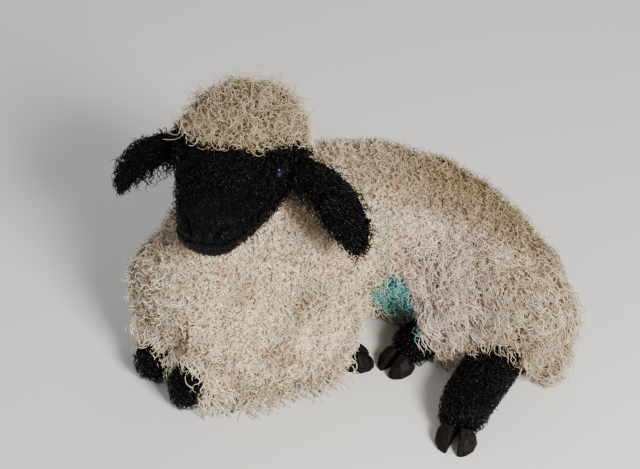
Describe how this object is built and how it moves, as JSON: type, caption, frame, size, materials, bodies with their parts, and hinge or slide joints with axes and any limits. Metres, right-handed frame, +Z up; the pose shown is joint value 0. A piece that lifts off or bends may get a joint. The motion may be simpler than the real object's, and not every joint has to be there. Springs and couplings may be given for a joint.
{
  "type": "lying valais blacknose lamb, a still life-size model",
  "caption": "Life-size still model of a young Valais Blacknose lamb lying curled on the floor, head raised and turned, with curly pale fleece and black face, ears and feet.",
  "frame": {"origin": "on the floor under the belly, on the flat that the chest rests on", "axes": "+Z up from the floor, +X from the chest to the rump, +Y away from the side that the head and the feet are turned to"},
  "size_m": [0.4349, 0.3105, 0.2685],
  "materials": {
    "wool": "curly pale fleece, with a turquoise spray stain on the left flank",
    "black_wool": "short curly black wool",
    "eye": "wet gloss",
    "hoof": "dull horn"
  },
  "bodies": {
    "root": {"torso_chest": "wool", "torso_loin": "wool", "torso_rump": "wool", "neck": "wool", "poll_fleece": "wool", "tail": "wool", "foreleg_left": "wool", "foreleg_right": "wool", "hindleg_left": "wool", "hindleg_right": "wool", "head": "black_wool", "ear_left": "black_wool", "ear_right": "black_wool", "foreleg_left_shank": "black_wool", "foreleg_right_shank": "black_wool", "hindleg_left_shank": "black_wool", "hindleg_right_shank": "black_wool", "eye_left": "eye", "eye_right": "eye", "foreleg_left_claw_inner": "hoof", "foreleg_left_claw_outer": "hoof", "foreleg_right_claw_inner": "hoof", "foreleg_right_claw_outer": "hoof", "hindleg_left_claw_inner": "hoof", "hindleg_left_claw_outer": "hoof", "hindleg_right_claw_inner": "hoof", "hindleg_right_claw_outer": "hoof"}
  },
  "joints": []
}
